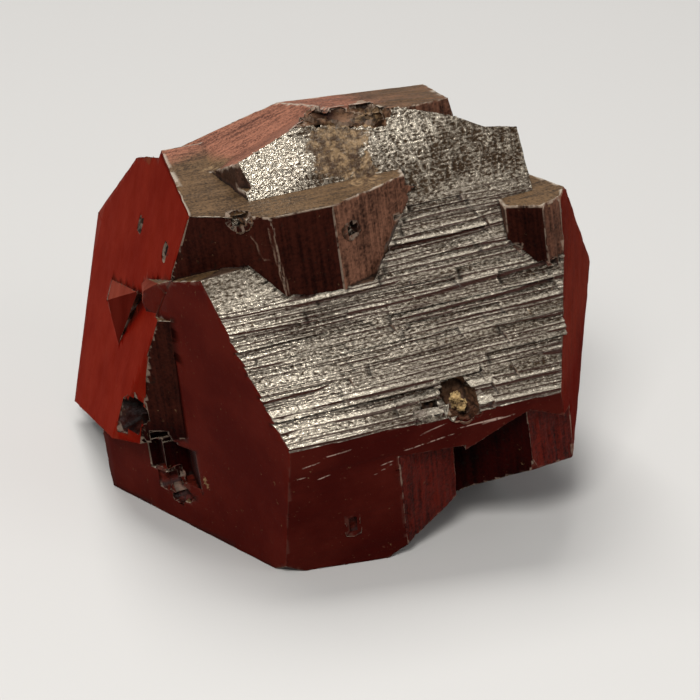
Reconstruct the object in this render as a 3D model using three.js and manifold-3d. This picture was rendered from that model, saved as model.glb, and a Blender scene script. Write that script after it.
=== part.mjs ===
// A goethite pseudomorph after pyrite: a group of pyritohedral crystals grown through each
// other and joined in one solid, resting on its broken base, with a small grain of buff matrix
// left in a pit of the front face.
//
// The crystal axes are X to the right, Y to the back and Z up. Each flat face is a direction
// [x, y, z] and its distance from the crystal centre in millimetres. The directions are those
// of {210} faces, a few degrees off in places, as such faces grow. The whole group then leans
// and turns to its resting place and is cut flat at its base.

import * as THREE from "three";
import { ConvexGeometry } from "three/addons/geometries/ConvexGeometry.js";
import { mergeVertices } from "three/addons/utils/BufferGeometryUtils.js";
import Module from "manifold-3d";

// ---- Driving dimensions, in millimetres and degrees ----

const REACH = 90; // half side of the block that every crystal is cut from
const TURN = 14.7; // crystal axes against the resting frame, about Z
const LEAN = -7.5; // about Y
const TIP = -0.6; // about X
const BASE = -14.5; // height of the broken base, against the crystal centre
const GAP = 0.3; // between the grain and its pit

// Face directions of the large first crystal.
const FRONT_TOP = [0.05, -0.88, 0.48]; // the big striated face
const FRONT_LOW = [0.03, -0.98, -0.2];
const LEFT = [-0.87, -0.5, 0.01];
const RIGHT = [0.89, -0.45, -0.03];
const RIGHT_TOP = [0.94, 0, 0.35];
const RIGHT_LOW = [0.82, 0, -0.58];
const RIGHT_SHOULDER = [0.66, 0.28, 0.7];
const BACK_TOP = [0, 0.89, 0.45];
const BACK_LOW = [0, 0.89, -0.45];
const BACK_LEFT = [-0.89, 0.45, 0];
const BACK_RIGHT = [0.89, 0.45, 0];

// Face directions of the second crystal, grown through the first as its twin.
const TOP = [0.03, -0.02, 1];
const SIDE = [-0.93, 0.03, 0.37];
const PRISM_LEFT = [-0.5, -0.87, -0.02];
const PRISM_FRONT = [0, -1, 0];
const PRISM_RIGHT = [0.44, -0.9, 0];

const UP = [0, 0, 1];
const DOWN = [0, 0, -1];
const FAR_RIGHT = [1, 0, 0];
const FAR_LEFT = [-1, 0, 0];

// Distances of the faces that several pieces share.
const BIG_FACE = 9.75;
const LEFT_FACE = 12.1;
const TABLE = 13.42; // the wide upper ledge of the second crystal
const SIDE_FACE = 13.96;
const ROOF = [[-0.02, 0, 1], 9.55]; // top of the first crystal, right and back

// Growth steps of the big face: from and to along the striation, height up the slope, depth.
const STEPS = [
  [-13, 1.4, -0.6, 0.34],
  [2.4, 15.4, -0.4, 0.3],
  [-3.6, 8.1, 1.4, 0.3],
  [8.2, 12, 1.9, 0.22],
  [-13, -0.9, -1.7, 0.22],
  [-13, 7.6, -2.4, 0.26],
  [-13, -2.2, -4.2, 0.26],
  [-13, -2, -5.1, 0.2],
  [-13, 4.8, -6.2, 0.34],
  [5, 8.5, -5.9, 0.34],
  [8.9, 18, -4.7, 0.32],
  [10.2, 18, -2.8, 0.26],
  [3.8, 11, -1.2, 0.2],
  [11.2, 16, 0.9, 0.28],
  [2.9, 11.4, 4.4, 0.22],
  [4.5, 10.6, 6.6, 0.2],
  [-13, -0.4, 0.3, 0.2],
];
const STEP_RUN = 0.9; // how far a step's floor runs down the slope before it meets the face
const FINE_STEPS = 24;

// ---- Solids ----

const wasm = await Module();
wasm.setup();

// A closed geometry as a manifold-3d solid.
function solid(geometry) {
  const plain = geometry.clone();
  plain.deleteAttribute("normal");
  plain.deleteAttribute("uv");
  const merged = mergeVertices(plain, 1e-4);
  return new wasm.Manifold(
    new wasm.Mesh({
      numProp: 3,
      vertProperties: merged.attributes.position.array,
      triVerts: new Uint32Array(merged.index.array),
    }),
  );
}

// All that lies behind a plane: a block whose top face is that plane.
function behind([direction, distance]) {
  const normal = new THREE.Vector3(...direction).normalize();
  const block = new THREE.BoxGeometry(2 * REACH, 2 * REACH, 2 * REACH);
  block.translate(0, 0, distance - REACH);
  block.applyQuaternion(
    new THREE.Quaternion().setFromUnitVectors(new THREE.Vector3(0, 0, 1), normal),
  );
  return solid(block);
}

// A convex crystal from its faces.
function crystal(faces) {
  return faces.map(behind).reduce((body, block) => body.intersect(block));
}

const opposite = (direction) => direction.map((part) => -part);

// What lies beyond a plane, for cuts that leave that plane as a face.
const beyond = (direction, distance) => [opposite(direction), -distance];

const joined = (bodies) => bodies.reduce((all, body) => all.add(body));
const without = (body, cuts) => cuts.reduce((rest, cut) => rest.subtract(cut), body);

// The sharp body spanned by a few corners.
function spanned(corners) {
  return solid(new ConvexGeometry(corners.map((corner) => new THREE.Vector3(...corner))));
}

// A box between two opposite corners, along the crystal axes.
function boxBetween([x0, y0, z0], [x1, y1, z1]) {
  const box = new THREE.BoxGeometry(x1 - x0, y1 - y0, z1 - z0);
  box.translate((x0 + x1) / 2, (y0 + y1) / 2, (z0 + z1) / 2);
  return solid(box);
}

// A rough lump: a faceted ball stretched by its three radii, turned by three angles in degrees.
function lump([x, y, z], [rx, ry, rz], turns = [0, 0, 0], detail = 1) {
  const ball = new THREE.IcosahedronGeometry(1, detail);
  ball.scale(rx, ry, rz);
  const [a, b, c] = turns.map(THREE.MathUtils.degToRad);
  ball.rotateX(a).rotateY(b).rotateZ(c);
  ball.translate(x, y, z);
  return solid(ball);
}

// ---- The first crystal ----

const FIRST = [
  [FRONT_TOP, BIG_FACE],
  [FRONT_LOW, 12.97],
  [LEFT, LEFT_FACE],
  [SIDE, SIDE_FACE],
  [RIGHT, 18.25],
  [RIGHT_TOP, 20.4],
  [RIGHT_LOW, 18.65],
  [RIGHT_SHOULDER, 17.2],
  [BACK_TOP, 17],
  [BACK_LOW, 17],
  [BACK_LEFT, 18.9],
  [BACK_RIGHT, 21.2],
  [[-0.35, -0.6, -0.72], 18.6],
  [[-0.153, 0.2, 0.968], 9.29],
  ROOF,
];

function firstCrystal() {
  const rightUnderside = [[0.04, -0.47, -0.88], 14.35];
  const leftUnderside = [[0.42, -0.1, -0.9], 14.3];
  return joined([
    crystal([...FIRST, rightUnderside]),
    crystal([...FIRST, leftUnderside]),
    upperCrest(),
    backTerrace(),
  ]);
}

// The upper part of the big face, narrower than the part below it.
function upperCrest() {
  return crystal([
    [FRONT_TOP, BIG_FACE],
    [LEFT, 6.15],
    [[-0.98, -0.21, 0], 6],
    [FAR_RIGHT, 15.77],
    [[-0.33, 0.32, 0.89], 15.2],
    [[0.36, 0.5, 0.79], 15.5],
    [TOP, 17.4],
    [BACK_TOP, 12],
    [DOWN, 0],
  ]);
}

// The low roof behind the crest, with the block that stands at its right end.
function backTerrace() {
  return crystal([
    [[-0.29, 0, 0.957], 15],
    [[0.1, 0.2, 0.97], 17.05],
    [FRONT_TOP, BIG_FACE],
    [PRISM_RIGHT, 4.5],
    [[1, 0, 0.19], 14.4],
    [[-0.98, -0.21, 0], 6],
    [BACK_TOP, 14.8],
    [DOWN, 0],
  ]);
}

// ---- The twin crystals ----

function secondCrystal() {
  const front = [
    [TOP, TABLE],
    [SIDE, SIDE_FACE],
    [PRISM_LEFT, 8.59],
    [PRISM_FRONT, 7.64],
    [PRISM_RIGHT, 6.95],
  ];
  const table = crystal([
    ...front,
    [FAR_RIGHT, 6.35],
    [BACK_TOP, 13.9],
    [DOWN, -2],
  ]);
  const flank = crystal([
    ...front,
    [[-0.92, -0.36, 0.15], 13.95],
    [[0.34, 0.34, 0.88], 11.47],
    [[0, 0.634, 0.773], 18.56],
    [BACK_LOW, 21.7],
    [BACK_RIGHT, 14],
    [[0, -1, -4], 5.5],
  ]);
  const cornerNotch = crystal([
    beyond(LEFT, LEFT_FACE),
    beyond(UP, 5.1),
    [[-0.5, 0, 0.87], 13.1],
    beyond(FAR_LEFT, 8),
    [SIDE, 22],
    [PRISM_LEFT, 16],
  ]);
  return without(joined([table, flank]), [cornerNotch]);
}

// A third, smaller individual at the upper right.
function rightCorner() {
  return crystal([
    ROOF,
    [PRISM_LEFT, -0.85],
    [PRISM_RIGHT, 13.99],
    [RIGHT, 18.25],
    [RIGHT_TOP, 20.4],
    [RIGHT_SHOULDER, 17.2],
    [BACK_RIGHT, 14.6],
    [FAR_LEFT, -12.9],
    [BACK_TOP, 12],
    [DOWN, 2],
  ]);
}

// Two small individuals that stand out of the back.
function backCorners() {
  return [
    crystal([
      [[0.45, 0.89, 0], 21.5],
      [[-0.45, 0.89, 0], 15.5],
      [[0, 0.45, 0.89], 12],
      [[0, 0.45, -0.89], 17.5],
      [[0.89, 0, 0.45], 14],
      [[0.89, 0, -0.45], 16],
      [PRISM_FRONT, 0],
      [FAR_LEFT, 0],
    ]),
    crystal([
      [[0.45, 0.89, 0], 19.3],
      [[0, 0.45, 0.89], 7],
      [[0, 0.45, -0.89], 10.5],
      [[0.89, 0, 0.45], 17.6],
      [[0.89, 0, -0.45], 18.8],
      [PRISM_FRONT, 0],
      [FAR_LEFT, 0],
    ]),
  ];
}

// What stands on the side face: a sharp hillock, and a lobe of the left face with a ledge on top.
function sideHillocks() {
  return [
    spanned([
      [-14, 15.3, 1.4],
      [-14.7, 15.3, -0.4],
      [-13.55, 2.6, 5.5],
      [-15.2, 8.1, -1.1],
      [-11, 9, 1],
    ]),
    spanned([
      [-12.56, -2.27, 7.96],
      [-13.55, -0.57, 6.83],
      [-13.75, -0.25, 5.75],
      [-13.6, -0.51, 5.08],
      [-12.96, -1.64, 5.24],
      [-11.68, -3.78, 8.7],
      [-12.95, 4.95, 5],
      [-12.6, 3.74, 5.85],
      [-12.25, -0.13, 7.13],
      [-10.5, 3, 5],
      [-10, -1, 8],
    ]),
  ];
}

// ---- Steps, pits and recesses ----

// Directions along and up the slope of the big face.
const OUT = new THREE.Vector3(...FRONT_TOP).normalize();
const ALONG = new THREE.Vector3(1, 0, 0).addScaledVector(OUT, -OUT.x).normalize();
const SLOPE = new THREE.Vector3().crossVectors(OUT, ALONG);

// A point of the big face, by its place along and up the slope and its height off the face.
function onBigFace(along, up, off) {
  const point = OUT.clone().multiplyScalar(BIG_FACE + off);
  point.addScaledVector(ALONG, along).addScaledVector(SLOPE, up);
  return point.toArray();
}

// A growth step: a sharp riser with a floor that runs out down the slope.
function growthStep([from, to, height, depth]) {
  const taper = 0.5;
  return spanned([
    onBigFace(from, height, depth),
    onBigFace(to, height, depth),
    onBigFace(from, height, -depth),
    onBigFace(to - taper, height, -depth),
    onBigFace(from, height - STEP_RUN, 0),
    onBigFace(to, height - STEP_RUN, 0),
    onBigFace(from, height - STEP_RUN, depth),
    onBigFace(to, height - STEP_RUN, depth),
  ]);
}

// An even spread of values from 0 to 1, the same at every build.
function spread(index, salt) {
  const wave = Math.sin(12.99 * index + 78.23 * salt) * 43758.5;
  return wave - Math.floor(wave);
}

// Finer growth steps between the main ones, clear of the table and of the right corner.
function fineSteps() {
  return Array.from({ length: FINE_STEPS }, (_, i) => {
    const height = -8.3 + 0.66 * i + 0.3 * spread(i, 1);
    const start = -12 + 17 * spread(i, 2);
    const from = height < 2 ? start : Math.max(start, 0.4 + 0.75 * height);
    const end = from + 4 + 8 * spread(i, 3);
    const to = height < 0 ? end : Math.min(end, 15 - 0.7 * height);
    return growthStep([from, to, height, 0.1 + 0.08 * spread(i, 4)]);
  });
}

// A shallow cut that steps the crest down at its right end.
function crestStep() {
  const edge = [
    [11.3, -1.95, 15.65],
    [13.3, -2.42, 14.6],
    [15.8, -2.55, 14.1],
    [13.6, -2.1, 15.8],
  ];
  const before = edge.map(([x, y, z]) => [x, y - 0.5, z + 0.2]);
  const behindIt = edge.map(([x, y, z]) => [x, y + 3, z - 1.2]);
  return spanned([...before, ...behindIt]);
}

// The dip in the crest and the rough hollow behind it.
function crestHollow() {
  return [
    crystal([
      beyond([0.25, 0, 1], 17.04),
      [[1, 0, -0.8], -5.64],
      beyond(FAR_RIGHT, 0.4),
      [UP, 22],
      [PRISM_FRONT, 12],
      beyond(PRISM_FRONT, -3),
    ]),
    lump([3.4, 1, 16.9], [3, 1.9, 1.2], [10, 0, 12], 2),
    lump([2.2, 1, 16.1], [1.3, 1, 1.3]),
    lump([5, 0.6, 16.2], [1.1, 1.3, 0.9], [0, 20, 0]),
  ];
}

// A groove in the big face along the right end of the table.
function sideGroove() {
  return crystal([
    beyond(PRISM_RIGHT, 6.95),
    [[0.8, -0.39, -0.46], 1.72],
    beyond(UP, 6.65),
    [UP, 20],
    beyond(FAR_RIGHT, -2),
    [PRISM_FRONT, 20],
  ]);
}

// The broken recess under the front right edge, where prism faces of the twin show.
function lowerRecess() {
  const open = [beyond(PRISM_FRONT, 6), [PRISM_FRONT, 30], beyond(UP, -30)];
  return [
    crystal([
      ...open,
      beyond([0.44, -0.88, -0.17], 12.2),
      [[0.1, 0, 1], -5.4],
      [FAR_RIGHT, 6.5],
      beyond(FAR_RIGHT, -4),
    ]),
    crystal([
      ...open,
      beyond(PRISM_LEFT, 3.9),
      [[-0.39, 0, 0.92], -8.55],
      beyond(FAR_RIGHT, 6.3),
      [FAR_RIGHT, 11.7],
    ]),
    crystal([
      ...open,
      beyond(PRISM_RIGHT, 15.1),
      [[0.45, 0, 0.89], 1.4],
      beyond(FAR_RIGHT, 11.6),
      [FAR_RIGHT, 30],
    ]),
  ];
}

// The nest of small cubic steps broken into the left face, and the hollow below it.
function steppedNest() {
  const stair = [0, 1, 2, 3].map((i) =>
    boxBetween([-15, -6, -6.2 + 0.42 * i], [-13.2 - 0.2 * i, 0.3 + 0.4 * i, -5.7 + 0.42 * i]),
  );
  return [
    ...stair,
    boxBetween([-18, -6, -9], [-12.2, 0.2, -5.9]),
    boxBetween([-18, -6, -9.9], [-13.3, 0.8, -8.9]),
    boxBetween([-18, -6, -8.7], [-14.1, 1.6, -6.1]),
    lump([-13.4, -1.4, -10.2], [0.9, 1.2, 0.6]),
  ];
}

// The deep pit at the foot of the side face.
function sidePit() {
  return spanned([
    [-16.8, 2.7, -3.4],
    [-16.3, -0.5, -1.7],
    [-15.5, -1.6, -1.9],
    [-15.6, -1.9, -3.2],
    [-17.2, -1, -4.6],
    [-17.5, 2.3, -5.4],
    [-14.2, 2, -4.2],
    [-13.6, 0.6, -2.6],
    [-13.5, 0.4, -3.8],
  ]);
}

// Single small pits and chips.
function smallPits() {
  return [
    lump([-11.65, 9.8, 7.8], [0.4, 0.5, 0.4]),
    lump([-11.4, 0, 9.2], [0.4, 0.4, 0.35]),
    lump([-6.6, -6.4, 13.2], [0.6, 0.5, 0.5]),
    lump([1.4, -7, 10.8], [0.45, 0.4, 0.35]),
    lump([4.2, -12.1, -2.1], [0.7, 0.6, 0.45]),
    boxBetween([-2.65, -13, -11.2], [-2.35, -10.8, -10]),
  ];
}

// ---- The grain of matrix and its pit ----

// The grain: a lump with a tail, or the room it takes with some margin round it.
function grainWith(margin) {
  const grown = (radii) => radii.map((radius) => radius + margin);
  return joined([
    lump([6.3, -11.2, -2.2], grown([0.75, 0.65, 0.85]), [0, 20, 10], 2),
    lump([6.7, -11.7, -3], grown([0.4, 0.4, 0.6]), [0, -30, 0], 2),
  ]);
}

function matrixPit() {
  const hollow = spanned([
    [5.3, -11.9, -0.7],
    [5.9, -11.7, -0.3],
    [6.7, -11.65, -0.3],
    [7.5, -11.85, -0.8],
    [7.9, -12.2, -1.5],
    [8.1, -12.7, -2.4],
    [7.9, -13, -3.3],
    [7.2, -13, -3.8],
    [6.2, -13, -3.2],
    [5.5, -12.8, -2.5],
    [5.1, -12.3, -1.6],
    [5.9, -9.9, -1.9],
    [6.6, -9.7, -1.6],
    [7.2, -9.8, -2.2],
    [7.2, -10.2, -3],
    [6.2, -10.2, -3.1],
  ]);
  return joined([hollow, grainWith(GAP)]);
}

// ---- The group ----

const rest = new THREE.Euler(...[TIP, LEAN, TURN].map(THREE.MathUtils.degToRad), "ZYX");

// The broken base: level in the resting frame, so turned back into the crystal axes.
function base() {
  const down = new THREE.Vector3(0, 0, -1);
  down.applyQuaternion(new THREE.Quaternion().setFromEuler(rest).invert());
  return behind([down.toArray(), -BASE]);
}

const cuts = [
  ...STEPS.map(growthStep),
  ...fineSteps(),
  crestStep(),
  ...crestHollow(),
  sideGroove(),
  ...lowerRecess(),
  ...steppedNest(),
  sidePit(),
  ...smallPits(),
  matrixPit(),
];
const crystals = without(
  joined([firstCrystal(), secondCrystal(), rightCorner(), ...backCorners()]),
  cuts,
);
const body = joined([crystals, ...sideHillocks()]).intersect(base());

const goethite = new THREE.MeshStandardMaterial({
  name: "goethite", color: 0x3a2b25, roughness: 0.42, metalness: 0.6,
});
const matrix = new THREE.MeshStandardMaterial({
  name: "buff_matrix", color: 0xb49a6c, roughness: 0.85, metalness: 0,
});

function meshOf(name, piece, material) {
  const { vertProperties, triVerts } = piece.getMesh();
  const geometry = new THREE.BufferGeometry();
  geometry.setAttribute("position", new THREE.BufferAttribute(vertProperties, 3));
  geometry.setIndex(new THREE.BufferAttribute(triVerts, 1));
  const mesh = new THREE.Mesh(geometry, material);
  mesh.name = name;
  return mesh;
}

const group = new THREE.Group();
group.name = "goethite_pseudomorph";
group.add(meshOf("goethite_crystals", body, goethite));
group.add(meshOf("matrix_grain", grainWith(0), matrix));

// At rest: turned into place, with the origin under the middle of the whole group, at the base.
group.rotation.copy(rest);
group.updateMatrixWorld(true);
const extent = new THREE.Box3().setFromObject(group, true);
const middle = extent.getCenter(new THREE.Vector3());
group.position.set(-middle.x, -middle.y, -extent.min.z);

export default group;
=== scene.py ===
"""Looks of a goethite pseudomorph: a group of intergrown crystals with a big striated face."""

import math

import bmesh
import bpy
import numpy as np
from mathutils import Euler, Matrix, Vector


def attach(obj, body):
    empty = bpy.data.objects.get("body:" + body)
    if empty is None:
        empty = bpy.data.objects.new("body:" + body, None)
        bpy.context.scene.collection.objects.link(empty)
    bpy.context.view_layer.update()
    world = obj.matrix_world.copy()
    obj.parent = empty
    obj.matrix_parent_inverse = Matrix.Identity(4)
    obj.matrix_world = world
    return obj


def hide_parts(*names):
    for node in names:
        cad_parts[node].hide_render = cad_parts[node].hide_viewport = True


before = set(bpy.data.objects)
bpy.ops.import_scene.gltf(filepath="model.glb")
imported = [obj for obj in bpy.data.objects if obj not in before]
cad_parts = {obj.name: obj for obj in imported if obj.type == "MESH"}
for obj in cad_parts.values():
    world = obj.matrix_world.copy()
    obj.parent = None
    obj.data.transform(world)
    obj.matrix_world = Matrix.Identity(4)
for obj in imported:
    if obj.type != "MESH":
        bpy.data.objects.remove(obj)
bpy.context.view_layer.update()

# ---- The crystals' own axes, in millimetres ----
# X runs along the striation of the big face, Y to the back and Z along the prism faces.

AXES = Euler((math.radians(-0.6), math.radians(-7.5), math.radians(14.7)), "XYZ")
CENTRE = Vector((0.389, -5.581, 14.5))
TURN = np.array(AXES.to_matrix())
SHIFT = np.array(CENTRE)


def to_crystal(points):
    """Points of the row frame, in metres, to the crystals' axes, in millimetres."""
    return (points * 1000 - SHIFT) @ TURN


def to_row(points):
    """Points in the crystals' axes, in millimetres, to the row frame, in metres."""
    return (points @ TURN.T + SHIFT) / 1000


def unit(direction):
    v = np.array(direction, float)
    return v / np.linalg.norm(v)


BIG = (0.05, -0.88, 0.48)  # the way the big face looks
FRONT_TOP = unit(BIG)
ALONG = unit(np.array((1, 0, 0)) - FRONT_TOP * FRONT_TOP[0])
SLOPE = np.cross(FRONT_TOP, ALONG)

SLAB_LEFT = (-0.5, -0.87, -0.02)  # the two front faces of the slab under the upper table
SLAB_FRONT = (0, -1, 0)

# The kinds of face, by their direction: each has its own relief and finish.
KINDS = {
    "big": [BIG],
    "low": [(0.03, -0.98, -0.2)],
    "left": [(-0.87, -0.5, 0.01)],
    "side": [(-0.93, 0.03, 0.37), (-0.92, -0.36, 0.15)],
    "hill_top": [(-0.93, 0.08, 0.36), (-0.96, 0.18, 0.23), (-0.46, 0.29, 0.84), (-0.65, 0.3, 0.7)],
    "hill_side": [(-0.96, 0.04, 0.27)],
    "right": [
        (0.89, -0.45, -0.03), (0.94, 0, 0.35), (0.82, 0, -0.58), (0.89, 0.45, 0), (0.89, 0, 0.45),
    ],
    "roof": [
        (0, 0, 1), (-0.29, 0, 0.957), (0.1, 0.2, 0.97), (-0.153, 0.2, 0.968), (-0.33, 0.32, 0.89),
    ],
    "prism": [SLAB_LEFT, SLAB_FRONT],
    "flank": [(0.44, -0.9, 0), (0.44, -0.88, -0.17)],
    "back": [
        (0, 0.89, 0.45), (0, 0.89, -0.45), (0.45, 0.89, 0), (-0.45, 0.89, 0), (-0.89, 0.45, 0),
        (0, 0.45, 0.89), (0, 0.634, 0.773), (0.34, 0.34, 0.88), (0.36, 0.5, 0.79),
        (0.66, 0.28, 0.7),
    ],
    "rough": [],
    "ledge": [],
    "hollow": [],
}
NUMBER = {name: number for number, name in enumerate(KINDS)}  # also the number of its material
BIG_DEPTH = 9.75  # the big face's distance from the crystals' centre
NEAREST = {"big": 6.0, "left": 11.0, "side": 13.0}  # smaller distances are broken faces
SPREAD = 7  # degrees that a face may lie off its kind's directions
BIG_SPREAD = 21  # the same for the big face, whose growth steps lean

# Where the big face's growth steps lie, in millimetres: under the face, up its slope and along X.
STEP_DEPTHS, STEP_HEIGHTS, STEP_SPAN = (0.03, 1.5), (-8, 7.5), (-9.5, 16.5)
STEP_AREA = 3  # a step's riser is smaller than this, in square millimetres
MAIN_AREA, MAIN_FLANK_AREA = 20, 4  # faces larger than this are never hollow
SHALLOW = 0.4  # nor is a part of the big face that lies less deep than this

# Broken hollows: centre and reach.
HOLLOWS = [
    ((3.4, 1.0, 16.2), 4.6), ((6.5, -11.2, -2.0), 2.3), ((4.2, -11.9, -2.1), 0.9),
    ((-14.2, 1.4, -3.6), 1.6), ((-13.3, -0.2, -9.6), 1.4), ((-16.1, 2.3, -4.4), 0.8),
    ((1.5, -6.7, 10.8), 1.1), ((-6.5, -6.3, 13.3), 1.1), ((-2.55, -10.9, -10.7), 1.2),
    ((-11.4, 10.0, 7.6), 0.9), ((-11.2, 0.5, 9.2), 0.9),
]


# ---- Smooth random fields ----

def lattice(cells, seed):
    """A value from 0 to 1 for each whole-numbered cell, the same at every run."""
    key = cells.astype(np.int64)
    value = seed * 374761393 + key[..., 0] * 668265263
    value += key[..., 1] * 2147483647 + key[..., 2] * 1274126177
    value = (value ^ (value >> 13)) * 1103515245
    value = (value ^ (value >> 16)) & 0xFFFFFF
    return value / float(0xFFFFFF)


def noise(points, seed):
    """Smooth noise from 0 to 1 at each point."""
    low = np.floor(points)
    part = points - low
    part = part * part * (3 - 2 * part)
    total = np.zeros(len(points))
    for corner in np.ndindex(2, 2, 2):
        step = np.array(corner)
        weight = np.prod(np.where(step, part, 1 - part), axis=1)
        total += weight * lattice(low + step, seed)
    return total


def layered(points, seed, octaves=3):
    """Noise with finer and fainter layers added."""
    total = sum(noise(points * 2 ** i, seed + i) / 2 ** i for i in range(octaves))
    return total / (2 - 2 ** (1 - octaves))


def stairs(value, steps, sharpness=0.12):
    """Turns a smooth slope into flat treads with short risers."""
    scaled = value * steps
    tread = np.floor(scaled)
    rise = np.clip((scaled - tread - (1 - sharpness)) / sharpness, 0, 1)
    return (tread + rise) / steps


# ---- The crystals' mesh ----

def within(values, limits):
    low, high = limits
    return (values > low) & (values < high)


def kind_of_faces(normals, centres, areas):
    """The kind of each face: the one whose direction is nearest, or what its place makes it."""
    best = np.full(len(normals), -1.0)
    kind = np.full(len(normals), NUMBER["rough"])
    for name, directions in KINDS.items():
        if not directions:
            continue
        nearness = (normals @ np.array([unit(d) for d in directions]).T).max(axis=1)
        limit = math.cos(math.radians(BIG_SPREAD if name == "big" else SPREAD))
        depth = (centres * normals).sum(axis=1)
        found = (nearness > best) & (nearness > limit) & (depth > NEAREST.get(name, -99))
        best[found] = nearness[found]
        kind[found] = NUMBER[name]
    # The risers of the big face's steps: their ends belong to the face, and the rest are ledges.
    sunk = BIG_DEPTH - centres @ FRONT_TOP
    on_face = within(sunk, STEP_DEPTHS) & within(centres @ SLOPE, STEP_HEIGHTS)
    on_face &= within(centres[:, 0], STEP_SPAN)
    risers = on_face & (areas < STEP_AREA) & (kind != NUMBER["big"])
    faces_along = abs(normals[risers, 0]) > 0.5
    kind[risers] = np.where(faces_along, NUMBER["big"], NUMBER["ledge"])
    for centre, reach in HOLLOWS:
        inside = np.linalg.norm(centres - np.array(centre), axis=1) < reach
        main = (areas > MAIN_AREA) | ((kind == NUMBER["big"]) & (sunk < SHALLOW))
        main |= (areas > MAIN_FLANK_AREA) & (kind == NUMBER["flank"])
        kind[inside & ~main] = NUMBER["hollow"]
    return kind


SAME_PLACE = 0.002  # vertices closer than this are one
CLEAR = 0.02  # a cut stays this far from the ends of the faces
REACH = 24  # further than any corner from the crystals' centre
OFF_CENTRE = 0.37  # part of a spacing, which keeps the cuts off the crystals' own edges


def slice_between(mesh, faces, direction, offsets):
    """Cuts faces along the planes at the offsets, halving them so that each cut meets few faces."""
    heights = [v.co.dot(direction) for f in faces for v in f.verts]
    if not heights:
        return
    low, high = min(heights), max(heights)
    offsets = [o for o in offsets if low + CLEAR < o < high - CLEAR]
    if not offsets:
        return
    offset = offsets[len(offsets) // 2]
    edges = list(dict.fromkeys(e for f in faces for e in f.edges))
    verts = list(dict.fromkeys(v for f in faces for v in f.verts))
    cut = bmesh.ops.bisect_plane(
        mesh, geom=verts + edges + faces, dist=1e-4,
        plane_co=direction * offset, plane_no=direction,
    )
    below, above = [], []
    for face in (g for g in cut["geom"] if isinstance(g, bmesh.types.BMFace)):
        side = below if face.calc_center_median().dot(direction) < offset else above
        side.append(face)
    slice_between(mesh, below, direction, [o for o in offsets if o < offset])
    slice_between(mesh, above, direction, [o for o in offsets if o > offset])


def grid(mesh, kind, direction, spacing):
    """Cuts the faces of one kind across a direction, at an even spacing."""
    faces = [f for f in mesh.faces if f.material_index == kind]
    offsets = list(np.arange(-REACH, REACH, spacing) + spacing * OFF_CENTRE)
    slice_between(mesh, faces, Vector(direction), offsets)


X, Y, Z = (1, 0, 0), (0, 1, 0), (0, 0, 1)
COARSE = 1.0
GRIDS = {  # for each kind of face, the directions and spacings of its cuts
    "big": [(SLOPE, 0.09), (ALONG, 0.6)],
    "low": [(Z, 0.11), (X, 0.6)],
    "left": [(Y, 0.8), (Z, 0.7)],
    "side": [(Y, 0.8), (Z, 0.7)],
    "hill_top": [(Y, 0.5), (Z, 0.5)],
    "hill_side": [(Y, 0.5), (Z, 0.5)],
    "right": [(Y, 0.6), (Z, 0.6)],
    "roof": [(Y, 0.2), (X, 0.6)],
    "prism": [(X, 0.15), (Z, 0.3)],
    "back": [(X, 0.7), (Z, 0.6), (Y, 0.6)],
    "flank": [(X, 0.17), (Z, 0.35)],
    "rough": [(X, 0.6), (Y, 0.6), (Z, 0.6)],
    "ledge": [(X, 0.35), (Y, 0.35)],
    "hollow": [(X, 0.2), (Y, 0.2), (Z, 0.2)],
}


def in_crystal_axes(node):
    """A merged copy of a node's mesh, in the crystals' axes."""
    mesh = bmesh.new()
    mesh.from_mesh(node.data)
    for vert in mesh.verts:
        vert.co = Vector(to_crystal(np.array(vert.co)))
    bmesh.ops.remove_doubles(mesh, verts=mesh.verts[:], dist=SAME_PLACE)
    return mesh


def crystal_mesh(node):
    """The node's mesh in the crystals' axes, each flat face made one and cut to an even grid."""
    mesh = in_crystal_axes(node)
    bmesh.ops.dissolve_degenerate(mesh, edges=mesh.edges[:], dist=SAME_PLACE)
    bmesh.ops.dissolve_limit(
        mesh, angle_limit=math.radians(0.5), verts=mesh.verts[:], edges=mesh.edges[:]
    )
    mesh.normal_update()
    normals = np.array([f.normal for f in mesh.faces])
    centres = np.array([f.calc_center_median() for f in mesh.faces])
    areas = np.array([f.calc_area() for f in mesh.faces])
    for face, kind in zip(mesh.faces, kind_of_faces(normals, centres, areas)):
        face.material_index = int(kind)
    for name, cuts in GRIDS.items():
        for direction, spacing in cuts:
            grid(mesh, NUMBER[name], direction, spacing * COARSE)
    bmesh.ops.triangulate(mesh, faces=mesh.faces[:])
    corners = {}
    for face in mesh.faces:
        corners.setdefault(frozenset(face.verts), []).append(face)
    flaps = [face for pair in corners.values() if len(pair) > 1 for face in pair]
    bmesh.ops.delete(mesh, geom=flaps, context="FACES")  # slivers folded onto themselves
    mesh.normal_update()
    return mesh


# ---- Relief, as a depth in millimetres below each face ----

def smooth(value, low, high):
    t = np.clip((value - low) / (high - low), 0, 1)
    return t * t * (3 - 2 * t)


def columns(*parts):
    """Points from their coordinates, any of which may be one number for all."""
    return np.stack(np.broadcast_arrays(*parts), axis=1)


# The big face's growth sheets: spacing, depth of the step under each sheet's lip, and seed.
SHEETS = {"wide": (1.3, 0.17, 3), "fine": (0.47, 0.07, 23), "hair": (0.21, 0.02, 43)}
UPPER_PART = (6.0, 9.0)  # up the slope, where the sheets give way to crumpled skin


def sheet_lines(p, spacing, seed):
    """Counts the sheets up the big face; a whole number is a sheet's lip, wavy and with jogs."""
    t, s = p @ ALONG, p @ SLOPE
    sway = 0.9 * layered(columns(t * 0.06, s * 0.22, 0), seed)
    jog = 0.24 * stairs(noise(columns(t * 0.13, s * 0.45, 0), seed + 5), 3, 0.3)
    return (s + sway + jog) / spacing


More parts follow.
